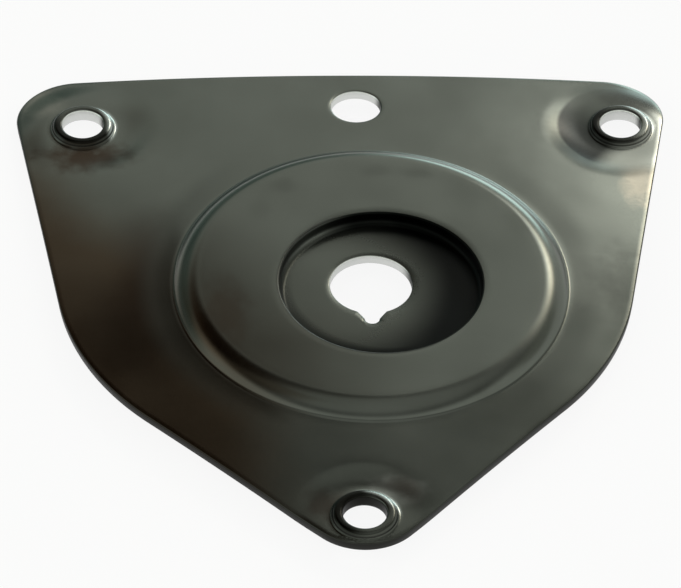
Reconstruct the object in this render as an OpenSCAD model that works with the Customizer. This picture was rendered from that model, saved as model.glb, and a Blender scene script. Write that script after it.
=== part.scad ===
// Strut mount plate: one pressed steel sheet with a shallow dome, a raised round land,
// a sunk cup with a keyed strut hole, and three corner pads with raised collars.
// Millimetres, +Z up along the strut axis. The origin lies on that axis, level with the pad faces.
// The pads share one plane, which leans a little because the strut axis is off the bolt circle's centre.

/* [Sheet] */
// thickness of the pressed sheet
sheet_t = 2; // [1.6:0.1:2.5]
// radius of the shallow dome that the whole flange follows
dome_r = 800; // [600:10:1400]

/* [Outline] */
// width of the plate across its two top corners
plate_w = 134; // [130:1:140]
// middle line of the outline, across from the strut axis
plate_x = -5; // [-6:0.2:0]
// straight top edge, up the plate from the strut axis
top_y = 65.2; // [63:0.2:68]
// lowest point of the bottom round, down the plate from the strut axis
bottom_y = -70.6; // [-76:0.2:-70]
// radius of the two top corners
corner_r = 12; // [10:0.5:14]
// radius of the bottom round
tail_r = 12; // [11:0.2:15]
// radius of the wide round that makes both shoulders
body_r = 58; // [54:0.5:60]
// centre of the wide round, up the plate from the strut axis
body_y = 6; // [2:0.5:8]

/* [Bolt holes] */
// radius of the circle through the three bolt holes
bolt_circle_r = 70; // [68:0.5:71]
// centre of that circle, across from the strut axis
bolt_circle_x = -2.7; // [-6:0.1:0]
// centre of that circle, up the plate from the strut axis
bolt_circle_y = 6.8; // [6:0.2:8]
// how far the two top holes stand above the level line of that circle, in degrees
bolt_lift = 37.5; // [36:0.5:40]
// diameter of the bolt holes
bolt_d = 8.4; // [7:0.1:9]
// radius of the flat pad round each bolt hole
pad_r = 10.2; // [9:0.2:10.6]
// outside radius of the raised collar round each bolt hole
collar_r = 6.3; // [5.8:0.1:7]
// height of the collar above its pad
collar_h = 1.2; // [1:0.1:2]
// rounding of the collar's outer lip
collar_round = 0.9; // [0.4:0.1:0.9]
// rounding of the drawn-in entry under each bolt hole
entry_round = 1; // [0.4:0.1:1.4]

/* [Raised land] */
// radius of the flat land where it starts to fall away
land_r = 34.3; // [32:0.1:37]
// height of the land above the dome at the foot of its step
step_h = 2.4; // [1.6:0.1:3]
// radius of the rolled shoulder round the land
shoulder_r = 6.4; // [5:0.1:8]
// inside rounding where the step meets the dome
foot_round = 1.1; // [0.6:0.1:1.6]

/* [Cup] */
// radius of the cup at its rim
cup_r = 20.2; // [17:0.2:23]
// centre of the cup, across from the strut axis
cup_x = 1.9; // [0:0.1:2.2]
// centre of the cup, up the plate from the strut axis
cup_y = -2.1; // [-2.4:0.1:0]
// depth of the cup below the land
cup_depth = 2.8; // [2.4:0.1:3.4]
// inside rounding at the foot of the cup wall
cup_fillet = 1.2; // [0.6:0.1:1.6]
// rounding of the cup's rim
rim_round = 0.4; // [0.3:0.1:1]

/* [Strut hole] */
// diameter of the strut hole in the cup floor
strut_d = 16.4; // [14:0.2:18]
// width of the key notch where it leaves the strut hole
key_mouth = 6.2; // [4:0.2:6.4]
// distance from the edge of the strut hole to the tip of the key notch
key_depth = 3; // [2:0.1:3.5]
// radius of the rounded tip of the key notch
key_tip_r = 1.5; // [0.8:0.1:1.8]

/* [Locating hole] */
// diameter of the plain locating hole
locate_d = 10.2; // [8:0.2:11]
// place of the locating hole, across from the strut axis
locate_x = -1.8; // [-4:0.2:0]
// distance of the locating hole's centre below the top edge
locate_drop = 10.9; // [9:0.1:11.5]

/* [Hidden] */
$fn = 120;
// far enough to pass right through the sheet
past = 20;
// radius from the strut axis that covers the whole outline
cover_r = 105;
// how far edges of a flat shape sit inside the rounds they meet
tuck = 0.002;
// run of a pad's bevel, up or down to the dome
bevel_run = 4;
// shift of a bevelled corner for each millimetre of depth into the sheet
bevel_shift = tan(22.5);
// share of the strut hole's radius at which the key notch starts
key_start = 0.9;

// centres of the outline's rounds; the bottom one stays in line with its bolt hole
corner_y = top_y - corner_r;
right_corner = [plate_x + plate_w / 2 - corner_r, corner_y];
left_corner = [plate_x - plate_w / 2 + corner_r, corner_y];
tail = [bolt_circle_x, bottom_y + tail_r];
body = [plate_x, body_y];

// the dome's centre lies on the strut axis, and its skin passes level through the middle of every pad
dome_z = -sqrt(dome_r * dome_r - bolt_circle_r * bolt_circle_r);
// lean of the bolt circle's axis, which goes through the dome's centre too
bolt_reach = norm([bolt_circle_x, bolt_circle_y, dome_z]);
lean_x = -asin(bolt_circle_y / bolt_reach);
lean_y = asin(bolt_circle_x / (bolt_reach * cos(lean_x)));
// direction of each bolt hole from the bolt circle's centre
bolt_angles = [bolt_lift, 180 - bolt_lift, 270];

// top of the land and floor of the cup
step_out = sqrt(shoulder_r * shoulder_r - (shoulder_r - step_h) * (shoulder_r - step_h));
step_r = land_r + step_out;
land_z = dome_z + sqrt(dome_r * dome_r - step_r * step_r) + step_h;
floor_z = land_z - cup_depth;

// centre of the rounding at the foot of the step, which touches the shoulder and the dome
dome_c = [0, dome_z];
shoulder_c = [land_r, land_z - shoulder_r];
foot_c = meet(dome_c, dome_r + foot_round, shoulder_c, shoulder_r + foot_round);

// the crossing of two circles that lies to the right of the way from a to b
function meet(a, a_r, b, b_r) =
    let (far = norm(b - a))
    let (way = (b - a) / far)
    let (along = (a_r * a_r - b_r * b_r + far * far) / (2 * far))
    let (side = sqrt(a_r * a_r - along * along))
    a + way * along + [way[1], -way[0]] * side;

// the two ends of the straight edge that touches rounds a and b on the right of the way from a to b
function edge_between(a, a_r, b, b_r) =
    let (way = b - a)
    let (turn = atan2(way[1], way[0]) - acos((a_r - b_r) / norm(way)))
    let (out = [cos(turn), sin(turn)])
    [a + out * (a_r - tuck), b + out * (b_r - tuck)];

// the flat outline: four rounds joined by straight edges
module outline() {
    polygon(concat(
        edge_between(tail, tail_r, body, body_r),
        edge_between(body, body_r, right_corner, corner_r),
        edge_between(right_corner, corner_r, left_corner, corner_r),
        edge_between(left_corner, corner_r, body, body_r),
        edge_between(body, body_r, tail, tail_r)
    ));
    translate(tail) circle(tail_r);
    translate(body) circle(body_r);
    translate(right_corner) circle(corner_r);
    translate(left_corner) circle(corner_r);
}

// puts its children at each bolt hole, square to the plane of the pads
module at_bolts() {
    translate([0, 0, dome_z]) rotate([lean_x, lean_y, 0]) translate([0, 0, -dome_z])
        for (turn = bolt_angles)
            translate(bolt_circle_r * [cos(turn), sin(turn), 0]) children();
}

// The next modules each give what lies under, or over, the skin of one form, where the skin is lowered
// into the sheet by depth. The sheet is what lies between the skins at depth 0 and at depth sheet_t.

// half section of the dome and the land with its stepped edge
module centre_section(depth) {
    intersection() {
        translate(dome_c) circle(dome_r - depth, $fn = 720);
        translate([0, -past]) square([cover_r, 2 * past]);
    }
    translate([0, -past]) square([land_r, past + land_z - depth]);
    intersection() {
        translate(shoulder_c) circle(shoulder_r - depth);
        translate([land_r - 1, -past]) square([shoulder_r + 1, 2 * past]);
    }
    difference() {
        polygon([shoulder_c, foot_c, [foot_c[0], -past / 2], [shoulder_c[0], -past / 2]]);
        translate(foot_c) circle(foot_round + depth + tuck);
    }
}

// half section of the hollow of the cup, from the cup's own axis
module cup_section(depth) {
    wall_r = cup_r + depth;
    round_r = cup_fillet + depth;
    translate([0, floor_z - depth]) {
        square([wall_r - round_r, past]);
        translate([0, round_r]) square([wall_r, past - round_r]);
        translate([wall_r - round_r, round_r]) circle(round_r);
        translate([wall_r - rim_round, cup_depth - rim_round]) difference() {
            square([2 * rim_round, 2 * rim_round]);
            translate([2 * rim_round, 0]) circle(rim_round);
        }
    }
}

module under_pad(depth) {
    top_r = pad_r - depth * bevel_shift;
    translate([0, 0, -depth - bevel_run]) cylinder(r1 = top_r + bevel_run, r2 = top_r, h = bevel_run);
}

// the hollow over a pad, where the dome stands higher than the pad
module over_pad(depth) {
    foot_r = pad_r + depth * bevel_shift;
    translate([0, 0, -depth]) cylinder(r1 = foot_r, r2 = foot_r + bevel_run, h = bevel_run);
}

module under_skin(depth) {
    difference() {
        rotate_extrude() centre_section(depth);
        translate([cup_x, cup_y, 0]) rotate_extrude() cup_section(depth);
        at_bolts() over_pad(depth);
    }
    at_bolts() under_pad(depth);
}

// a collar drawn up round a bolt hole, with a rolled lip
module collar() {
    foot = sheet_t / 2;
    rotate_extrude() translate([0, -foot]) {
        square([collar_r - collar_round, foot + collar_h]);
        square([collar_r, foot + collar_h - collar_round]);
        translate([collar_r - collar_round, foot + collar_h - collar_round]) circle(collar_round);
    }
}

// the bore of a bolt hole, with the round entry left where the collar was drawn through
module bolt_bore() {
    translate([0, 0, -past]) cylinder(d = bolt_d, h = 2 * past);
    rotate_extrude() translate([0, -sheet_t]) difference() {
        translate([0, -entry_round]) square([bolt_d / 2 + entry_round, 2 * entry_round]);
        translate([bolt_d / 2 + entry_round, entry_round]) circle(entry_round);
    }
}

// the strut hole with its key notch, which points to the bottom round
module strut_hole() {
    start_y = -key_start * strut_d / 2;
    tip_y = key_tip_r - key_depth - strut_d / 2;
    translate([0, 0, -past]) linear_extrude(height = 2 * past) {
        circle(d = strut_d);
        polygon([[-key_mouth / 2, start_y], [-key_tip_r, tip_y], [key_tip_r, tip_y], [key_mouth / 2, start_y]]);
        translate([0, tip_y]) circle(key_tip_r);
    }
}

module mount_plate() {
    color([0.32, 0.33, 0.31]) difference() {
        union() {
            intersection() {
                difference() {
                    under_skin(0);
                    under_skin(sheet_t);
                }
                translate([0, 0, -past / 2]) linear_extrude(height = past) outline();
            }
            at_bolts() collar();
        }
        at_bolts() bolt_bore();
        strut_hole();
        translate([locate_x, top_y - locate_drop, -past]) cylinder(d = locate_d, h = 2 * past);
    }
}

mount_plate();
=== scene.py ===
import math

import bpy
from mathutils import Matrix, Vector
from mathutils.geometry import delaunay_2d_cdt
from mathutils.kdtree import KDTree


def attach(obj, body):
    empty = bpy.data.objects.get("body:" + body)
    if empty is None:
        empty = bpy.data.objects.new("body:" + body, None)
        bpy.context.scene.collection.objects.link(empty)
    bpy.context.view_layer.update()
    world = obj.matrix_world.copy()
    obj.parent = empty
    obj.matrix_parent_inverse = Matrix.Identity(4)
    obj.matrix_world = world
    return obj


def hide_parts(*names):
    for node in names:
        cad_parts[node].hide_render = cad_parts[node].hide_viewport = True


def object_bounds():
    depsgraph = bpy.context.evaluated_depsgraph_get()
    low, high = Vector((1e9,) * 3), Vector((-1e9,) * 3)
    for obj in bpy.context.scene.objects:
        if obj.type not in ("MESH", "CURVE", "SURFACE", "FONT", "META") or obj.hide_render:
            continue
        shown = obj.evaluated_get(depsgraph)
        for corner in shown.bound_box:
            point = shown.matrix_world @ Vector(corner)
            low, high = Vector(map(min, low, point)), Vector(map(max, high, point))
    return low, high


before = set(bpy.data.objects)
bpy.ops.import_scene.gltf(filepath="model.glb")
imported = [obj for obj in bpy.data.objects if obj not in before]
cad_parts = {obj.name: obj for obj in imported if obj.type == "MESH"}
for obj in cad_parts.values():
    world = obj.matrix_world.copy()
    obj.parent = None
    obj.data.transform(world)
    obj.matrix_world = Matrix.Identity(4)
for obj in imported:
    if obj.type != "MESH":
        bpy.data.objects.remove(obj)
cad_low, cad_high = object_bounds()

# The pressed plate of a strut mount as one fine mesh of worn dark steel, with painted shade, painted
# reflections and painted highlights in its colour, on a white floor in a soft studio.

# One millimetre in metres, and the photograph's width in pixels.
MM = 0.001
IMAGE_W = 681

# Sizes of the plate are in millimetres, from the strut axis at the origin. First the sheet and its dome.
SHEET_T = 2.0
DOME_R = 800.0

# The bolt circle, its holes and their collars. The two top holes stand BOLT_LIFT degrees above level.
BOLT_CIRCLE_R = 70.0
BOLT_CIRCLE = Vector((-2.7, 6.8))
BOLT_LIFT = 37.5
BOLT_R = 4.2
COLLAR_R = 6.3
COLLAR_H = 1.2
COLLAR_ROUND = 0.9
COLLAR_LIP = 0.5
COLLAR_FOOT = 0.6
ENTRY_ROUND = 1.0

# The pads of the right, left and bottom holes. A radius goes to the middle of the soft bend round the pad,
# and a bend is half that bend's width: first on the side of the strut hole, then on the side of the corner.
PAD_RADII = [12.4, 12.0, 10.8]
PAD_BENDS = [4.6, 4.4, 3.2]
PAD_OUTER_R = 11.2
PAD_OUTER_BEND = 4.2

# The raised land, its rolled shoulder and the rounding at the foot of its step.
LAND_R = 34.3
STEP_H = 2.4
SHOULDER_R = 6.4
FOOT_ROUND = 1.1

# The cup.
CUP = Vector((1.9, -2.1))
CUP_R = 20.2
CUP_DEPTH = 2.8
CUP_FILLET = 1.2
RIM_ROUND = 0.4

# The strut hole with its key notch, and the locating hole.
STRUT_R = 8.2
KEY_HALF = 3.1
KEY_START = -0.9 * STRUT_R
KEY_DEPTH = 3.0
KEY_TIP_R = 1.5
KEY_TIP_Y = KEY_TIP_R - KEY_DEPTH - STRUT_R
LOCATE = Vector((-1.8, 54.3))
LOCATE_R = 5.1

# Rounds of the outline: centre and radius.
BODY = (Vector((-5.0, 6.0)), 58.0)
RIGHT_CORNER = (Vector((50.0, 53.2)), 12.0)
LEFT_CORNER = (Vector((-60.0, 53.2)), 12.0)
TAIL = (Vector((-2.7, -58.6)), 12.0)

# Rolled edges of the sheet: radius on the upper skin, and the share of it on the lower skin.
STRUT_ROLL = 0.3
LOCATE_ROLL = 0.4
OUTER_ROLL = 0.3
LOW_SHARE = 0.6

# Points of the mesh: how many lie round the middle, round a hole and on the rings past the locating hole.
MIDDLE_SPOKES = 288
HOLE_SPOKES = 112
RING_SPOKES = 72

# Rings of points: on the cup's floor, as shares of its width; the last one past the step, the first one
# past a collar, two about the locating hole and one inside the outer edge.
FLOOR_RINGS = (0.12, 0.3, 0.5, 0.7, 0.88)
STEP_END_R = 44.0
PAD_START_R = 7.6
LOCATE_RINGS = (6.2, 7.2)
EDGE_RING = 1.1

# Rows of points on the open flange: their spacing, their count each way, and how far they keep clear of the
# strut axis, the locating hole, the pads' bends and the outer edge. Pads keep clear of that edge too.
FLANGE_GAP = 1.7
FLANGE_ROWS = 48
FLANGE_START_R = 45.0
LOCATE_CLEAR_R = 8.2
PAD_CLEAR = 1.2
EDGE_CLEAR = 2.2
PAD_EDGE_CLEAR = 1.4

# Heights and reaches that follow from the sizes.
DOME_Z = -math.sqrt(DOME_R ** 2 - BOLT_CIRCLE_R ** 2)
STEP_R = LAND_R + math.sqrt(SHOULDER_R ** 2 - (SHOULDER_R - STEP_H) ** 2)
LAND_Z = DOME_Z + math.sqrt(DOME_R ** 2 - STEP_R ** 2) + STEP_H
FLOOR_Z = LAND_Z - CUP_DEPTH
PAD_REACHES = [pad_r + bend for pad_r, bend in zip(PAD_RADII, PAD_BENDS)]

# The bolt circle's axis goes through the dome's centre, so it leans a little from the strut axis.
BOLT_AXIS = Vector((BOLT_CIRCLE.x, BOLT_CIRCLE.y, -DOME_Z)).normalized()

# Colours of the steel: as rolled and where it is cut, and painted light on highlights, lit walls, pale
# reflections and hole walls.
STEEL = (0.094, 0.100, 0.088)
PALE_STEEL = (0.108, 0.115, 0.102)
STREAKED_STEEL = (0.080, 0.085, 0.074)
FOOT_PAINTED_HIGHLIGHT = (0.108, 0.115, 0.104)
CUP_WALL_PAINTED_LIGHT = (0.34, 0.36, 0.33)
COLLAR_PAINTED_HIGHLIGHT = (0.34, 0.37, 0.36)
PAD_PAINTED_HIGHLIGHT = (0.31, 0.315, 0.285)
PAINTED_PALE_REFLECTION = (0.26, 0.245, 0.215)
PAINTED_BRIGHT_HIGHLIGHT = (0.30, 0.31, 0.29)
CUT_STEEL = (0.016, 0.016, 0.014)
PAINTED_BRIGHT_WALL = (0.76, 0.77, 0.75)

# Colours of what lies on the steel, and of painted shade and painted reflections.
LEFT_PAINTED_REFLECTION = (0.046, 0.028, 0.014)
DEEP_PAINTED_SHADE = (0.014, 0.008, 0.004)
SOFT_PAINTED_SHADE = (0.018, 0.010, 0.006)
PAINTED_BROWN_REFLECTION = (0.030, 0.017, 0.009)
PAINTED_DARK_REFLECTION = (0.030, 0.020, 0.013)
PALE_BROWN = (0.036, 0.025, 0.019)
SMUDGE = (0.045, 0.048, 0.041)
FILM_AND_PAINTED_SHADE = (0.046, 0.049, 0.043)
GREEN_FILM = (0.046, 0.047, 0.038)
WARM_PAINTED_SHADE = (0.046, 0.045, 0.040)
LAND_LEFT_DARK = (0.026, 0.022, 0.016)
RIM_PAINTED_SHADE = (0.026, 0.027, 0.024)
EDGE_PAINTED_SHADE = (0.020, 0.020, 0.018)
PAINTED_CREAM_HIGHLIGHT = (0.21, 0.19, 0.155)
BOTTOM_PAD_DARKER = (0.030, 0.030, 0.026)
RING_FOOT_PAINTED_SHADE = (0.010, 0.009, 0.006)
PAD_PAINTED_REFLECTION = (0.020, 0.021, 0.020)
COLLAR_PAINTED_SHADE = (0.004, 0.004, 0.003)
CUP_PAINTED_SHADE = (0.001, 0.0014, 0.0012)

# Stains, and patches of painted shade, painted reflection and painted highlight, on the sheet: centre, half
# width, half height, share and colour.
STAINS_AND_PAINTED_LIGHT = [
    (Vector((-17.0, 26.0)), 4.0, 3.0, 0.28, SMUDGE),
    (Vector((-22.0, 19.0)), 3.0, 4.0, 0.2, SMUDGE),
    (Vector((2.0, 30.5)), 5.0, 2.5, 0.28, SMUDGE),
    (Vector((10.0, 30.0)), 4.0, 2.0, 0.28, SMUDGE),
    (Vector((54.0, -1.0)), 12.0, 17.0, 0.58, FILM_AND_PAINTED_SHADE),
    (Vector((32.0, -38.0)), 18.0, 14.0, 0.28, GREEN_FILM),
    # Painted shade over the reflection on the right pad's inner bend.
    (Vector((40.0, 49.0)), 6.0, 8.0, 0.45, FILM_AND_PAINTED_SHADE),
    # Painted shade over the reflection on the right pad's upper bend.
    (Vector((57.5, 58.5)), 10.0, 6.0, 0.6, WARM_PAINTED_SHADE),
    # Painted shade over the reflection on the bottom pad's inner bend.
    (Vector((-3.0, -51.3)), 10.0, 4.0, 0.3, FILM_AND_PAINTED_SHADE),
    # Painted cream highlight near the right edge.
    (Vector((55.5, 33.0)), 5.0, 10.0, 0.8, PAINTED_CREAM_HIGHLIGHT),
    # Painted pale reflection on the left pad's outer bend.
    (Vector((-68.0, 58.5)), 7.0, 7.0, 0.5, PAINTED_PALE_REFLECTION),
    # Painted brown reflection below the left hole.
    (Vector((-57.2, 40.2)), 12.0, 6.5, 0.92, PAINTED_BROWN_REFLECTION),
    # Painted dark reflection on the land's left edge.
    (Vector((-29.0, -11.0)), 6.0, 12.0, 0.55, PAINTED_DARK_REFLECTION),
    (Vector((-9.6, -60.5)), 5.5, 5.5, 0.75, PALE_BROWN),
    # Painted highlight on the bottom pad's upper right.
    (Vector((3.2, -56.4)), 7.5, 4.5, 0.7, PAINTED_BRIGHT_HIGHLIGHT),
]

# Middles of the deep and of the soft painted shade to the left of the ring; the soft one's half width and
# height.
DEEP_SHADE_PLACE = Vector((-44.0, -12.0))
SOFT_SHADE_PLACE = Vector((-44.0, 6.0))
SOFT_SHADE_SIZE = (9, 20)

# Painted shade in the cup darkens away from these two points: over the floor, and along the foot of the
# wall.
FLOOR_SHADE_FROM = Vector((-7.5, -2.0))
WALL_FOOT_SHADE_FROM = Vector((CUP.x - 1.2, CUP.y + 2.2))

# For the right, left and bottom collars: the side with painted shade, and the side with a painted
# highlight.
SHADED_SIDES = [Vector((-0.8, -0.6)), Vector((-0.3, -0.95)), Vector((-0.97, 0.25))]
LIT_SIDES = [Vector((0.8, 0.6)), Vector((0.97, 0.25)), Vector((0.6, 0.8))]

# Radius of the dark painted disc on the right pad.
PAD_DISC_R = 13.0

# Dark patches of the studio's sky, whose colour multiplies, and patches of light, whose colour adds:
# azimuth from the back to the right, elevation, half width and half height in degrees, then the colour.
SHADES = [
    ((-46, 22, 34, 16), (0.30, 0.38, 0.37)),
    ((-34, 52, 35, 19), (0.14, 0.08, 0.045)),
    ((-14, 10, 24, 14), (0.26, 0.34, 0.32)),
    ((-75, 62, 45, 18), (0.50, 0.45, 0.40)),
    ((62, 38, 26, 14), (0.45, 0.45, 0.43)),
    ((-14, 31, 15, 9), (0.86, 0.87, 0.86)),
]
GLOWS = [
    ((19, 35.9, 10.5, 6), (4.05, 4.08, 3.85)),
    ((26, 35, 10, 7), (6.0, 5.2, 4.1)),
    ((16, 11, 13, 8), (3.0, 4.1, 4.1)),
    ((-88, 20, 24, 16), (0.15, 0.25, 0.25)),
    ((-74, 33, 14, 11), (0.15, 0.13, 0.10)),
]

scene = bpy.context.scene
scene.view_settings.view_transform = "Standard"


def dome_height(x, y):
    """Height of the dome's upper skin."""
    return DOME_Z + math.sqrt(DOME_R ** 2 - x * x - y * y)


def pad_height(x, y):
    """Height of the plane that the three pads share."""
    return DOME_Z + (-DOME_Z - BOLT_AXIS.x * x - BOLT_AXIS.y * y) / BOLT_AXIS.z


def bolt_places():
    """Centres of the right, left and bottom bolt holes on the pad plane, seen from above."""
    lean = Vector((0, 0, 1)).rotation_difference(BOLT_AXIS)
    places = []
    for turn in (BOLT_LIFT, 180 - BOLT_LIFT, 270):
        a = math.radians(turn)
        flat = Vector((BOLT_CIRCLE_R * math.cos(a), BOLT_CIRCLE_R * math.sin(a), -DOME_Z))
        places.append((lean @ flat).to_2d())
    return places


BOLTS = bolt_places()


def smooth(low, high, value):
    """A smooth change from 0 to 1 while value goes from low to high."""
    t = min(max((value - low) / (high - low), 0.0), 1.0)
    return t * t * (3 - 2 * t)


def past_pad(place):
    """Where a place lies in the bend of the nearest pad: from -1 at the flat to 1 at the dome.

    A pad's radius and bend change smoothly from the side of the strut hole to the side of its corner.
    """
    found = []
    for bolt, inner_r, inner_bend in zip(BOLTS, PAD_RADII, PAD_BENDS):
        apart = place - bolt
        far = apart.length
        outer = 0.5 + 0.5 * apart.dot(bolt.normalized()) / max(far, 1e-6)
        edge = inner_r + (PAD_OUTER_R - inner_r) * outer
        bend = inner_bend + (PAD_OUTER_BEND - inner_bend) * outer
        found.append((far - edge) / bend)
    return min(found)


def skin(x, y):
    """Height of the upper skin of the flange: the dome, pressed flat at the pads with soft bends."""
    flat = 1 - smooth(-1, 1, past_pad(Vector((x, y))))
    return dome_height(x, y) * (1 - flat) + pad_height(x, y) * flat


def under(point):
    """The point of the lower skin below a point of the flange's upper skin."""
    out = Vector((point.x, point.y, point.z - DOME_Z)).normalized()
    return point - out * SHEET_T


def arc(centre, radius, start, end, count):
    """Points of a section along an arc, without its first point; angles in degrees."""
    turns = [math.radians(start + (end - start) * i / count) for i in range(1, count + 1)]
    return [centre + radius * Vector((math.cos(t), math.sin(t))) for t in turns]


def lerp(a, b, count):
    """Even steps from a to b, without a."""
    return [a + (b - a) * i / count for i in range(1, count + 1)]


def circle(count, clockwise=False):
    """Directions round a circle."""
    sign = -1 if clockwise else 1
    turns = [sign * 2 * math.pi * i / count for i in range(count)]
    return [Vector((math.cos(t), math.sin(t))) for t in turns]


SPOKES = circle(MIDDLE_SPOKES, clockwise=True)


def rolled_edge(roll, count):
    """Steps over a rolled edge, from its outermost line inwards: inset and drop."""
    turns = [math.pi / 2 * i / count for i in range(count + 1)]
    return [(roll * (1 - math.cos(t)), roll * (1 - math.sin(t))) for t in turns]


def key_hole(turn):
    """Distance from the strut axis to the edge of the keyed hole, in one direction."""
    way = Vector((math.cos(turn), math.sin(turn)))
    edge = STRUT_R
    slope = (KEY_TIP_R - KEY_HALF) / (KEY_TIP_Y - KEY_START)
    side = (KEY_HALF - KEY_START * slope) / (abs(way.x) - slope * way.y)
    if KEY_TIP_Y < side * way.y < KEY_START:
        edge = max(edge, side)
    along = way.y * KEY_TIP_Y
    room = along ** 2 - KEY_TIP_Y ** 2 + KEY_TIP_R ** 2
    if way.y < 0 and room > 0:
        edge = max(edge, along + math.sqrt(room))
    return edge


def cup_section():
    """The section of the cup's wall from foot to rim.

    For each ring it gives the radius in the flat pattern, the upper point and the lower point.
    """
    floor_r = CUP_R - CUP_FILLET
    bend = Vector((floor_r, FLOOR_Z + CUP_FILLET))
    rim = Vector((CUP_R + RIM_ROUND, LAND_Z - RIM_ROUND))
    tops = [Vector((floor_r, FLOOR_Z))]
    tops += arc(bend, CUP_FILLET, 270, 360, 6)
    tops += [Vector((CUP_R, z)) for z in lerp(bend.y, rim.y, 3)]
    tops += arc(rim, RIM_ROUND, 180, 90, 5)
    # Below, the outside of the fillet stops a few degrees short and runs straight to the land's underside.
    short = 5
    low_r = CUP_FILLET + SHEET_T
    turn = math.acos((low_r - CUP_DEPTH) / low_r)
    land_end = Vector((floor_r + low_r * math.sin(turn) + RIM_ROUND, LAND_Z - SHEET_T))
    lows = [Vector((floor_r, FLOOR_Z - SHEET_T))]
    lows += arc(bend, low_r, 270, 270 - short + math.degrees(turn), 9)
    lows += lerp(lows[-1], land_end, 5)
    flats = [floor_r] + lerp(floor_r, rim.x, len(tops) - 1)
    return list(zip(flats, tops, lows))


def step_section():
    """The section of the rolled shoulder, its foot and the start of the dome, in the form of the cup's."""
    shoulder = Vector((LAND_R, LAND_Z - SHOULDER_R))
    dome = Vector((0, DOME_Z))
    way = shoulder - dome
    from_dome = DOME_R + FOOT_ROUND
    from_shoulder = SHOULDER_R + FOOT_ROUND
    along = (from_dome ** 2 - from_shoulder ** 2 + way.length ** 2) / (2 * way.length)
    aside = math.sqrt(from_dome ** 2 - along ** 2)
    way.normalize()
    foot = dome + way * along + Vector((way.y, -way.x)) * aside
    touch = math.degrees(math.atan2(foot.y - shoulder.y, foot.x - shoulder.x))
    down = math.degrees(math.atan2(foot.y - dome.y, foot.x - dome.x)) + 180
    tops = arc(shoulder, SHOULDER_R, 90, touch, 16)
    tops += arc(foot, FOOT_ROUND, touch + 180, down, 9)
    lows = arc(shoulder, SHOULDER_R - SHEET_T, 90, touch, 16)
    lows += arc(foot, FOOT_ROUND + SHEET_T, touch + 180, down, 9)
    for r in lerp(tops[-1].x, STEP_END_R, 3):
        tops.append(Vector((r, dome_height(r, 0))))
        lows.append(tops[-1] - (tops[-1] - dome).normalized() * SHEET_T)
    return [(top.x, top, low) for top, low in zip(tops, lows)]


def collar_section():
    """The section of a collar from its bore outwards, in the form of the cup's, but above the pad."""
    lip = Vector((BOLT_R + COLLAR_LIP, COLLAR_H - COLLAR_LIP))
    tops = [Vector((BOLT_R, lip.y))]
    tops += arc(lip, COLLAR_LIP, 180, 90, 4)
    crown = Vector((COLLAR_R - COLLAR_ROUND, COLLAR_H - COLLAR_ROUND))
    tops.append(crown + Vector((0, COLLAR_ROUND)))
    reach = COLLAR_ROUND + COLLAR_FOOT
    rise = COLLAR_FOOT - crown.y
    foot = crown + Vector((math.sqrt(reach ** 2 - rise ** 2), rise))
    touch = math.degrees(math.asin(rise / reach))
    tops += arc(crown, COLLAR_ROUND, 90, touch, 7)
    tops += arc(foot, COLLAR_FOOT, touch + 180, 270, 5)
    entry = Vector((BOLT_R + ENTRY_ROUND, ENTRY_ROUND - SHEET_T))
    lows = [entry - Vector((ENTRY_ROUND, 0))]
    lows += arc(entry, ENTRY_ROUND, 180, 270, 7)
    lows += [Vector((r, -SHEET_T)) for r in lerp(entry.x, foot.x, len(tops) - len(lows))]
    flats = [BOLT_R] + lerp(BOLT_R, tops[-1].x, len(tops) - 1)
    return list(zip(flats, tops, lows))


def outline():
    """Points round the edge of the plate, counter-clockwise, each with its inward direction."""
    rounds = [TAIL, BODY, RIGHT_CORNER, LEFT_CORNER, BODY]
    turns = []
    for (a, a_r), (b, b_r) in zip(rounds, rounds[1:] + rounds[:1]):
        way = b - a
        turns.append(math.atan2(way.y, way.x) - math.acos((a_r - b_r) / way.length))
    points = []
    for i, (centre, radius) in enumerate(rounds):
        start = turns[i - 1]
        sweep = (turns[i] - start) % (2 * math.pi)
        count = max(2, round(radius * sweep))
        for j in range(count + 1):
            turn = start + sweep * j / count
            out = Vector((math.cos(turn), math.sin(turn)))
            points.append((centre + out * radius, -out))
        after, after_r = rounds[(i + 1) % len(rounds)]
        end = after + out * after_r
        count = round((end - points[-1][0]).length)
        points += [(points[-1][0].lerp(end, j / count), -out) for j in range(1, count)]
    return points


class Edge:
    """The outer edge of the plate."""

    def __init__(self):
        self.points = outline()
        self.tree = KDTree(len(self.points))
        for i, (place, inward) in enumerate(self.points):
            self.tree.insert(place.to_3d(), i)
        self.tree.balance()

    def inside(self, place):
        """Distance inwards from the edge; negative outside."""
        found, index, gap = self.tree.find(place.to_3d())
        nearest, inward = self.points[index]
        return gap if (place - nearest).dot(inward) > 0 else -gap


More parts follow.
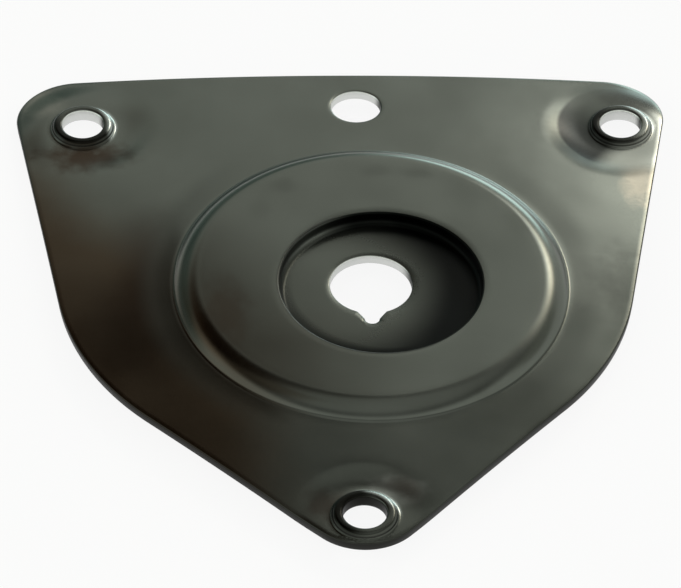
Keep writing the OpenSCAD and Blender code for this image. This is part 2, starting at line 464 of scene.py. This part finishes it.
class Sheet:
    """Points of a pressed sheet: a place in the flat pattern, and one point on each skin."""

    def __init__(self):
        self.plan = []
        self.top = []
        self.low = []
        self.loops = []

    def add(self, plan, top, low):
        """Adds a point and gives back its number."""
        self.plan.append(Vector(plan))
        self.top.append(Vector(top))
        self.low.append(Vector(low))
        return len(self.plan) - 1

    def on_flange(self, place, drop=0.0):
        """Adds a point of the flange; where an edge is rolled, drop takes the skins towards each other."""
        top = Vector((place.x, place.y, skin(place.x, place.y)))
        low = under(top)
        return self.add(place, top - Vector((0, 0, drop)), low + Vector((0, 0, drop * LOW_SHARE)))

    def turn(self, section, centre):
        """Adds the rings of a section that turns about a centre."""
        for flat_r, top, low in section:
            for way in SPOKES:
                upper = centre + way * top.x
                lower = centre + way * low.x
                self.add(centre + way * flat_r, (upper.x, upper.y, top.y), (lower.x, lower.y, low.y))

    def mesh(self, name):
        """Joins the points into triangles on both skins, and walls round every loop."""
        merge_gap = 1e-5
        made = delaunay_2d_cdt(self.plan, [], [], 0, merge_gap)
        source = [found[0] for found in made[3]]
        owner = {}
        for number, loop in enumerate(self.loops):
            owner.update((point, number) for point in loop)
        shift = len(self.plan)
        faces = []
        for corners in made[2]:
            face = [source[c] for c in corners]
            loops = {owner.get(point) for point in face}
            if len(loops) == 1 and None not in loops:
                continue
            faces.append(face)
            faces.append([point + shift for point in reversed(face)])
        for loop in self.loops:
            for a, b in zip(loop, loop[1:] + loop[:1]):
                faces.append([a, a + shift, b + shift, b])
        mesh = bpy.data.meshes.new(name)
        mesh.from_pydata([point * MM for point in self.top + self.low], [], faces)
        return mesh


def press_cup(sheet):
    """The rolled edge of the keyed hole, the flat floor and the cup's wall."""
    edges = [key_hole(math.atan2(way.y, way.x)) for way in SPOKES]
    rings = []
    for inset, drop in rolled_edge(STRUT_ROLL, 3):
        top_z = FLOOR_Z - drop
        low_z = FLOOR_Z - SHEET_T + drop * LOW_SHARE
        flats = [way * (edge + inset) for way, edge in zip(SPOKES, edges)]
        rings.append([sheet.add(flat, (*flat, top_z), (*flat, low_z)) for flat in flats])
    sheet.loops.append(rings[0])
    wall = cup_section()
    for share in FLOOR_RINGS:
        for way, edge in zip(SPOKES, edges):
            flat = (way * (edge + STRUT_ROLL)).lerp(CUP + way * wall[0][0], share)
            sheet.add(flat, (*flat, FLOOR_Z), (*flat, FLOOR_Z - SHEET_T))
    sheet.turn(wall, CUP)


def press_land(sheet):
    """The flat land from the cup's rim outwards, and its rolled shoulder."""
    rim_top, rim_low = cup_section()[-1][1:]
    for share in lerp(0.0, 1.0, 9):
        for way in SPOKES:
            upper = (CUP + way * rim_top.x).lerp(way * LAND_R, share)
            lower = (CUP + way * rim_low.x).lerp(way * LAND_R, share)
            sheet.add(upper, (*upper, LAND_Z), (*lower, LAND_Z - SHEET_T))
    sheet.turn(step_section(), Vector((0, 0)))


def press_edge(sheet, edge):
    """The rolled outer edge, and a ring of points inside it."""
    rings = []
    for inset, drop in rolled_edge(OUTER_ROLL, 4):
        rings.append([sheet.on_flange(place + inward * inset, drop) for place, inward in edge.points])
    sheet.loops.append(rings[0])
    for place, inward in edge.points:
        sheet.on_flange(place + inward * EDGE_RING)


def press_pads(sheet, edge):
    """The collars, their pads and the soft bends round the pads."""
    for bolt, reach in zip(BOLTS, PAD_REACHES):
        rings = []
        for flat_r, top, low in collar_section():
            ring = []
            for way in circle(HOLE_SPOKES, clockwise=True):
                upper = bolt + way * top.x
                lower = bolt + way * low.x
                ring.append(sheet.add(
                    bolt + way * flat_r,
                    (*upper, pad_height(*upper) + top.y),
                    (*lower, pad_height(*lower) + low.y),
                ))
            rings.append(ring)
        sheet.loops.append(rings[0])
        for r in [PAD_START_R] + lerp(PAD_START_R, reach, 14):
            for way in circle(HOLE_SPOKES):
                if edge.inside(bolt + way * r) > PAD_EDGE_CLEAR:
                    sheet.on_flange(bolt + way * r)


def press_locating_hole(sheet):
    """The rolled edge of the locating hole, and two rings of points outside it."""
    ways = circle(HOLE_SPOKES, clockwise=True)
    rings = []
    for inset, drop in rolled_edge(LOCATE_ROLL, 3):
        rings.append([sheet.on_flange(LOCATE + way * (LOCATE_R + inset), drop) for way in ways])
    sheet.loops.append(rings[0])
    for r in LOCATE_RINGS:
        for way in circle(RING_SPOKES):
            sheet.on_flange(LOCATE + way * r)


def press_flange(sheet, edge):
    """The open flange between those: rows of points, every second row half a step aside."""
    count = range(-FLANGE_ROWS, FLANGE_ROWS)
    for row in count:
        for column in count:
            x = (column + row % 2 / 2) * FLANGE_GAP
            y = row * FLANGE_GAP * math.sqrt(3) / 2
            place = Vector((x, y))
            clear = place.length > FLANGE_START_R and (place - LOCATE).length > LOCATE_CLEAR_R
            for bolt, reach in zip(BOLTS, PAD_REACHES):
                clear = clear and (place - bolt).length > reach + PAD_CLEAR
            if clear and edge.inside(place) > EDGE_CLEAR:
                sheet.on_flange(place)


def press_sheet():
    """All points of the plate."""
    sheet = Sheet()
    edge = Edge()
    press_cup(sheet)
    press_land(sheet)
    press_edge(sheet, edge)
    press_pads(sheet, edge)
    press_locating_hole(sheet)
    press_flange(sheet, edge)
    return sheet


def rgb(red, green, blue):
    """A colour as sockets take it."""
    return (red, green, blue, 1.0)


class Graph:
    """Builds a shader node tree; most methods add a node and give back its output socket."""

    def __init__(self, tree):
        self.tree = tree
        tree.nodes.clear()

    def put(self, value, socket):
        """Links a socket, or sets a plain value."""
        if isinstance(value, bpy.types.NodeSocket):
            self.tree.links.new(value, socket)
        else:
            socket.default_value = value

    def node(self, kind, inputs=(), **settings):
        """A node with some of its settings and inputs; inputs are (name or number, value) pairs."""
        made = self.tree.nodes.new(kind)
        for name, value in settings.items():
            setattr(made, name, value)
        for key, value in inputs:
            self.put(value, made.inputs[key])
        return made

    def math(self, operation, *values):
        """A number worked out from numbers."""
        return self.node("ShaderNodeMath", enumerate(values), operation=operation).outputs[0]

    def vector(self, operation, *values):
        """A vector worked out from vectors."""
        made = self.node("ShaderNodeVectorMath", enumerate(values), operation=operation)
        return made.outputs["Vector"]

    def measure(self, operation, *values):
        """A number worked out from vectors."""
        made = self.node("ShaderNodeVectorMath", enumerate(values), operation=operation)
        return made.outputs["Value"]

    def plus(self, first, *others):
        """The sum of some numbers."""
        for other in others:
            first = self.math("ADD", first, other)
        return first

    def times(self, first, *others):
        """The product of some numbers."""
        for other in others:
            first = self.math("MULTIPLY", first, other)
        return first

    def step(self, value, low, high, at_low=0.0, at_high=1.0):
        """A smooth change from at_low to at_high while value goes from low to high."""
        ends = [
            ("Value", value),
            ("From Min", low),
            ("From Max", high),
            ("To Min", at_low),
            ("To Max", at_high),
        ]
        return self.node("ShaderNodeMapRange", ends, interpolation_type="SMOOTHSTEP").outputs[0]

    def band(self, value, low, full, ebb, high):
        """A smooth rise from 0 at low to 1 at full, and a smooth fall from 1 at ebb to 0 at high."""
        return self.times(self.step(value, low, full), self.step(value, high, ebb))

    def mix(self, share, first, second, blend="MIX"):
        """A mix of two colours, which the node takes at its sockets 6 and 7."""
        inputs = [(0, share), (6, first), (7, second)]
        return self.node("ShaderNodeMix", inputs, data_type="RGBA", blend_type=blend).outputs[2]

    def noise(self, place, scale, detail, roughness=0.55):
        """A cloudy pattern, from about 0.2 to 0.8."""
        inputs = [("Vector", place), ("Scale", scale), ("Detail", detail), ("Roughness", roughness)]
        return self.node("ShaderNodeTexNoise", inputs).outputs[0]


class Steel(Graph):
    """Dark bare sheet steel under a thin oily film, laid on in layers from the bare sheet up, among them
    painted shade, painted reflections and painted highlights.

    Places are in millimetres from the strut axis.
    """

    def __init__(self, tree):
        super().__init__(tree)
        place = self.node("ShaderNodeTexCoord").outputs["Object"]
        self.place = self.vector("MULTIPLY", place, (1 / MM, 1 / MM, 1 / MM))
        self.across = self.vector("MULTIPLY", self.place, (1, 1, 0))
        self.radius = self.measure("LENGTH", self.across)
        self.x, self.y, self.z = self.node("ShaderNodeSeparateXYZ", [(0, self.place)]).outputs
        normal = self.node("ShaderNodeNewGeometry").outputs["Normal"]
        facing = self.node("ShaderNodeSeparateXYZ", [(0, normal)]).outputs["Z"]
        # This is 1 on level faces and 0 on upright walls.
        self.level = self.math("ABSOLUTE", facing)
        self.cloud = self.noise(self.place, scale=0.045, detail=4)
        self.grain = self.noise(self.place, scale=2.4, detail=2, roughness=0.6)
        # The sheet was rolled along X, so its streaks are long that way.
        drawn_out = self.vector("MULTIPLY", self.place, (0.06, 1.6, 1.6))
        self.streak = self.noise(drawn_out, scale=1.0, detail=3, roughness=0.6)

    def gap(self, centre):
        """Distance from a centre, seen from above."""
        return self.measure("DISTANCE", self.across, centre.to_3d())

    def side(self, centre, way):
        """How far a place lies from a centre in one direction, seen from above."""
        apart = self.vector("SUBTRACT", self.across, centre.to_3d())
        return self.measure("DOT_PRODUCT", apart, (way[0], way[1], 0.0))

    def oval(self, centre, wide, tall):
        """Distance from the centre of an oval, as a share of the way to its rim."""
        apart = self.vector("SUBTRACT", self.across, centre.to_3d())
        return self.measure("LENGTH", self.vector("MULTIPLY", apart, (1 / wide, 1 / tall, 0.0)))

    def paint(self, share, tint):
        """Lays a colour over what is there."""
        self.color = self.mix(share, self.color, rgb(*tint))

    def rolled_sheet(self):
        """Bare sheet with a broad cloudy tone and faint long streaks."""
        clouded = self.step(self.cloud, 0.35, 0.68)
        self.color = self.mix(clouded, rgb(*STEEL), rgb(*PALE_STEEL))
        self.paint(self.step(self.streak, 0.55, 0.85, 0.0, 0.25), STREAKED_STEEL)

    def left_painted_reflection(self):
        """Painted dark brown reflection on the flange's left, painted shade darker beside the ring, and the
        land darker on its left.
        """
        low_y = self.math("MAXIMUM", self.y, -20.0)
        left = self.plus(self.times(self.x, -0.8), self.times(low_y, -0.7), self.times(self.cloud, 14.0))
        on_flange = self.step(self.radius, LAND_R - 2, LAND_R + 4)
        # Painted reflection: brown-dark over the flange's left.
        self.paint(self.times(self.step(left, 26.0, 47.0), on_flange, 0.85), LEFT_PAINTED_REFLECTION)

        # Painted shade, deepest beside the ring on its left.
        past_step = self.step(self.radius, STEP_R - 3, STEP_R + 1)
        deep = self.plus(self.gap(DEEP_SHADE_PLACE), self.times(self.cloud, 8.0))
        self.paint(self.times(self.step(deep, 26.0, 8.0), past_step, 0.8), DEEP_PAINTED_SHADE)
        soft = self.plus(self.oval(SOFT_SHADE_PLACE, *SOFT_SHADE_SIZE), self.cloud)
        self.paint(self.times(self.step(soft, 1.75, 0.6, 0.0, 0.65), past_step), SOFT_PAINTED_SHADE)

        # The land is darker on its left.
        on_land = self.step(self.radius, LAND_R + 3, LAND_R - 1)
        self.paint(self.times(self.step(left, 10.0, 42.0), on_land, 0.82), LAND_LEFT_DARK)

    def ring_painted_shade(self):
        """Painted shade just outside the ring on its right and left, darkest in the crease at the ring's
        foot on its left.
        """
        aside = self.plus(self.times(self.math("ABSOLUTE", self.x), 0.9), self.times(self.y, -0.1))
        # Painted shade in a band just outside the ring, on its right and left.
        halo = self.band(self.radius, STEP_R, STEP_R + 1.5, 43.0, 48.0)
        self.paint(self.times(halo, self.step(aside, 16.0, 33.0, 0.0, 0.45)), FILM_AND_PAINTED_SHADE)
        # Painted shade in the crease at the ring's foot, on its left.
        leftwards = self.plus(self.times(self.x, -0.9), self.times(self.y, -0.35))
        ring_foot_shade = self.band(self.radius, STEP_R + 0.2, STEP_R + 0.8, STEP_R + 1.5, STEP_R + 5.0)
        self.paint(self.times(ring_foot_shade, self.step(leftwards, 27.0, 32.0, 0.0, 0.5)), RING_FOOT_PAINTED_SHADE)

    def stains_and_painted_light(self):
        """Smudges, films, and patches of painted shade, painted reflection and painted highlight, with
        ragged rims.
        """
        rag = self.noise(self.place, scale=0.3, detail=3)
        for centre, wide, tall, share, tint in STAINS_AND_PAINTED_LIGHT:
            ragged = self.plus(self.oval(centre, wide, tall), rag)
            self.paint(self.step(ragged, 1.6, 0.7, 0.0, share), tint)

    def foot_painted_highlight(self):
        """Painted highlight: the foot of the step is lighter than the sheet on either side of it."""
        foot = self.band(self.radius, STEP_R - 1.9, STEP_R - 0.9, STEP_R + 0.3, STEP_R + 1.1)
        # Painted highlight along the foot of the step.
        self.paint(self.times(foot, 0.3), FOOT_PAINTED_HIGHLIGHT)

    def cup(self):
        """Near-black painted shade in the cup, darkest on its right and along its wall; on the left the
        wall is painted lighter, as if lit, and the rim is painted darker.
        """
        cup_r = self.gap(CUP)
        above_floor = self.step(self.z, FLOOR_Z - 0.9, FLOOR_Z - 0.5)
        in_cup = self.times(self.step(cup_r, CUP_R + 0.5, CUP_R + 0.2), above_floor)
        rightwards = self.side(CUP, (0.85 / CUP_R, 0.5 / CUP_R))

        self.cup_wall = self.times(in_cup, self.step(cup_r, CUP_R - 0.35, CUP_R - 0.1))
        # Painted light on the cup's wall, on its left.
        self.paint(self.times(self.cup_wall, self.step(rightwards, 0.1, -0.4, 0.0, 0.9)), CUP_WALL_PAINTED_LIGHT)

        # Painted shade over the cup's floor and wall, darkest on the right.
        floor_gap = self.plus(self.gap(FLOOR_SHADE_FROM), self.times(self.cloud, 4.0))
        floor_shade = self.step(floor_gap, 12.0, 26.5, 0.1, 0.995)
        wall_foot_shade = self.step(self.gap(WALL_FOOT_SHADE_FROM), 15.5, 19.6, 0.0, 0.97)
        near_wall = self.step(cup_r, CUP_R - 2.1, CUP_R - 0.9)
        wall_shade = self.times(near_wall, self.step(rightwards, -0.45, 0.3, 0.0, 0.97))
        most_shade = self.math("MAXIMUM", self.math("MAXIMUM", floor_shade, wall_foot_shade), wall_shade)
        self.cup_shade = self.times(in_cup, most_shade)
        self.paint(self.cup_shade, CUP_PAINTED_SHADE)

        # Painted shade on the cup's rim, on its left.
        rim = self.band(cup_r, CUP_R - 0.05, CUP_R + 0.05, CUP_R + 0.4, CUP_R + 0.9)
        self.paint(self.times(rim, self.step(rightwards, 0.3, -0.2, 0.0, 0.75)), RIM_PAINTED_SHADE)

    def bottom_pad(self):
        """Darker over the bottom pad."""
        self.paint(self.step(self.gap(BOLTS[2]), 13.0, 8.5, 0.0, 0.32), BOTTOM_PAD_DARKER)

    def right_pad_painted_light(self):
        """Painted dark reflection as a disc on the right pad; its lower right is a pale painted highlight.
        """
        bolt = BOLTS[0]
        gap = self.gap(bolt)
        lit_side = self.step(self.side(bolt, (0.8, -0.6)), 0.5, 6.0)
        sharp = self.step(gap, PAD_DISC_R + 0.5, PAD_DISC_R - 0.5)
        below = self.step(self.math("SUBTRACT", self.y, bolt.y), -3.0, -8.0, 0.0, 0.55)
        soft = self.times(self.step(gap, PAD_DISC_R + 4.5, PAD_DISC_R), below)
        inside = self.step(gap, PAD_DISC_R, PAD_DISC_R - 5.0, 1.0, 0.9)
        kept = self.math("SUBTRACT", 1.0, lit_side)
        towards_ring = self.step(self.side(bolt, (-0.75, -0.66)), -3.0, 8.0, 0.2, 1.0)
        pad_shade = self.times(self.math("MAXIMUM", sharp, soft), inside, kept, towards_ring)
        # Painted dark reflection over the right pad.
        self.paint(pad_shade, PAD_PAINTED_REFLECTION)
        on_pad = self.step(gap, PAD_DISC_R + 2.5, PAD_DISC_R - 2.0, 0.0, 0.85)
        # Painted highlight on the right pad's lower right.
        self.paint(self.times(lit_side, on_pad), PAD_PAINTED_HIGHLIGHT)

    def collars(self):
        """Near-black painted shade on one side of each collar, and a painted highlight on the other side.
        """
        for bolt, shaded_way, lit_way in zip(BOLTS, SHADED_SIDES, LIT_SIDES):
            gap = self.gap(bolt)
            collar_shade = self.step(self.side(bolt, shaded_way), -3.0, 2.0, 0.25, 0.93)
            # Painted shade on the collar's dark side.
            self.paint(self.times(collar_shade, self.step(gap, 7.2, 5.6)), COLLAR_PAINTED_SHADE)
            collar_light = self.step(self.side(bolt, lit_way), 3.8, 5.4, 0.0, 0.8)
            # Painted highlight on the collar's lit side.
            self.paint(self.times(collar_light, self.band(gap, 4.6, 5.6, 6.6, 7.4)), COLLAR_PAINTED_HIGHLIGHT)

    def cut_edges(self):
        """Sheared edges are dark, and painted shade lies along the rolled outer edge."""
        off_cup = self.math("SUBTRACT", 1.0, self.cup_wall)
        self.cut = self.times(self.step(self.level, 0.6, 0.25), off_cup)
        self.paint(self.times(self.cut, 0.8), CUT_STEEL)
        # Painted shade on the tilted faces of the rolled outer edge.
        edge = self.times(self.step(self.level, 0.97, 0.85), self.step(self.radius, 47.0, 49.0))
        for bolt in BOLTS:
            edge = self.times(edge, self.step(self.gap(bolt), 6.9, 7.2))
        self.paint(self.times(edge, 0.7), EDGE_PAINTED_SHADE)

    def hole_walls(self):
        """Painted light: the walls of all holes but the bottom one are painted near white, brightest at the
        back.
        """
        holes = [(Vector((0, 0)), STRUT_R), (LOCATE, LOCATE_R)]
        holes += [(bolt, BOLT_R) for bolt in BOLTS[:2]]
        for centre, hole_r in holes:
            wall = self.step(self.gap(centre), hole_r + 0.3, hole_r + 0.05)
            backwards = self.side(centre, (-0.3 / hole_r, 0.95 / hole_r))
            # Painted light on the hole's wall, brightest at the back.
            self.paint(self.times(wall, self.step(backwards, -0.1, 0.45, 0.0, 0.95)), PAINTED_BRIGHT_WALL)

    def roughness(self):
        """Cloudy and grainy, and rougher where the sheet is cut and under the cup's painted shade."""
        cloudy = self.step(self.cloud, 0.3, 0.7, 0.18, 0.23)
        grainy = self.step(self.grain, 0.3, 0.7, -0.015, 0.015)
        return self.plus(cloudy, grainy, self.times(self.cut, 0.3), self.times(self.cup_shade, 0.16))

    def relief(self):
        """The rolled sheet isn't quite flat: slow waves bend its reflections, under the fine grain."""
        deep = 0.2 * MM
        wave = self.noise(self.place, scale=0.05, detail=1, roughness=0.4)
        slow = [("Strength", 1.0), ("Distance", deep), ("Height", wave)]
        waves = self.node("ShaderNodeBump", slow).outputs[0]
        height = self.plus(self.times(self.grain, 0.4), self.times(self.streak, 0.6))
        fine = [("Strength", 0.025), ("Distance", deep), ("Height", height), ("Normal", waves)]
        return self.node("ShaderNodeBump", fine).outputs[0]

    def surface(self):
        """Joins the colour, the roughness and the relief in one metal."""
        inputs = [
            ("Base Color", self.color),
            ("Metallic", 1.0),
            ("Roughness", self.roughness()),
            ("Normal", self.relief()),
            ("Coat Weight", 0.03),
            ("Coat Roughness", 0.15),
        ]
        shader = self.node("ShaderNodeBsdfPrincipled", inputs)
        self.node("ShaderNodeOutputMaterial", [("Surface", shader.outputs[0])])


def steel():
    """The plate's material."""
    mat = bpy.data.materials.new("sheet_steel")
    mat.use_nodes = True
    layers = Steel(mat.node_tree)
    layers.rolled_sheet()
    layers.left_painted_reflection()
    layers.ring_painted_shade()
    layers.stains_and_painted_light()
    layers.foot_painted_highlight()
    layers.cup()
    layers.bottom_pad()
    layers.right_pad_painted_light()
    layers.collars()
    layers.cut_edges()
    layers.hole_walls()
    layers.surface()
    return mat


def make_plate():
    """The pressed plate with its soft bends and rolled edges, in place of its CAD node."""
    mesh = press_sheet().mesh("plate")
    mesh.shade_smooth()
    piece = bpy.data.objects.new("plate", mesh)
    scene.collection.objects.link(piece)
    mesh.materials.append(steel())
    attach(piece, "root")
    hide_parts("mount_plate")


def white_floor():
    """The floor's material: plain white where it is seen, with a faint shadow."""
    mat = bpy.data.materials.new("floor")
    mat.use_nodes = True
    g = Graph(mat.node_tree)
    white_share = 0.9
    path = g.node("ShaderNodeLightPath").outputs
    seen = g.math("MAXIMUM", path["Is Camera Ray"], path["Is Glossy Ray"])
    seen = g.math("MAXIMUM", seen, path["Is Transmission Ray"])
    matt = g.node("ShaderNodeBsdfDiffuse", [("Color", rgb(0.9, 0.9, 0.9))])
    white = g.node("ShaderNodeEmission", [("Color", rgb(1, 1, 1)), ("Strength", 1.0)])
    inputs = [(0, g.times(seen, white_share)), (1, matt.outputs[0]), (2, white.outputs[0])]
    both = g.node("ShaderNodeMixShader", inputs)
    g.node("ShaderNodeOutputMaterial", [("Surface", both.outputs[0])])
    return mat


def make_floor():
    """A wide floor, level with the lowest point of the plate."""
    half = 12.0
    z = cad_low[2]
    corners = [(-half, -half, z), (half, -half, z), (half, half, z), (-half, half, z)]
    mesh = bpy.data.meshes.new("floor")
    mesh.from_pydata(corners, [], [(0, 1, 2, 3)])
    floor = bpy.data.objects.new("floor", mesh)
    scene.collection.objects.link(floor)
    mesh.materials.append(white_floor())


def make_world():
    """A soft studio: pale up to 40 degrees, dimmer above, dark on the left, lit from the back right."""
    world = bpy.data.worlds.new("studio")
    scene.world = world
    world.use_nodes = True
    g = Graph(world.node_tree)
    way = g.node("ShaderNodeTexCoord").outputs["Generated"]
    x, y, z = g.node("ShaderNodeSeparateXYZ", [(0, way)]).outputs
    azimuth = g.math("DEGREES", g.math("ARCTAN2", x, y))
    elevation = g.math("DEGREES", g.math("ARCSINE", z))

    def patch(at_azimuth, at_elevation, wide, tall):
        """The share that a soft oval patch of the sky has in a direction; angles in degrees."""
        over = g.math("DIVIDE", g.math("SUBTRACT", azimuth, at_azimuth), wide)
        up = g.math("DIVIDE", g.math("SUBTRACT", elevation, at_elevation), tall)
        far = g.math("SQRT", g.plus(g.times(over, over), g.times(up, up)))
        return g.step(far, 1.15, 0.6)

    level = g.plus(
        g.step(elevation, 3, 9, 0.2, 0.0),
        g.step(elevation, 40.5, 52.5, 1.04, 0.33),
        g.step(elevation, 55, 68, 0.0, 0.3),
        g.step(elevation, 33, 40, -0.08, 0.0),
    )
    color = g.mix(1.0, rgb(0.98, 1.02, 0.95), level, "MULTIPLY")
    for place, tint in SHADES:
        color = g.mix(patch(*place), color, rgb(*tint), "MULTIPLY")
    for place, tint in GLOWS:
        color = g.mix(patch(*place), color, rgb(*tint), "ADD")
    back = g.node("ShaderNodeBackground", [("Color", color), ("Strength", 1.0)])
    g.node("ShaderNodeOutputWorld", [("Surface", back.outputs[0])])


def towards(azimuth, elevation):
    """A direction: azimuth in degrees from the back (+Y) to the right, elevation above the floor."""
    a = math.radians(azimuth)
    e = math.radians(elevation)
    return (math.sin(a) * math.cos(e), math.cos(a) * math.cos(e), math.sin(e))


def make_camera():
    """The photograph's viewing angle: from the front, raised, a metre away, through a long lens."""
    front = 180
    aside = 2.697
    raised = 43.231
    aim = Vector((-6.07, -1.045, 0)) * MM
    roll = -0.0291
    focal_px = 5014.3
    place = Vector(towards(front + aside, raised))
    z_axis = (place - aim).normalized()
    right = Vector((0, 1, 0)).cross(z_axis).normalized()
    up = z_axis.cross(right)
    x_axis = right * math.cos(roll) + up * math.sin(roll)
    y_axis = up * math.cos(roll) - right * math.sin(roll)
    turned = Matrix((x_axis, y_axis, z_axis)).transposed().to_4x4()
    data = bpy.data.cameras.new("camera")
    data.sensor_fit = "HORIZONTAL"
    data.sensor_width = 36
    data.lens = focal_px / IMAGE_W * data.sensor_width
    data.clip_start = 0.01
    cam = bpy.data.objects.new("camera", data)
    cam.matrix_world = Matrix.Translation(place) @ turned
    scene.collection.objects.link(cam)
    scene.camera = cam


make_plate()
make_floor()
make_world()
make_camera()
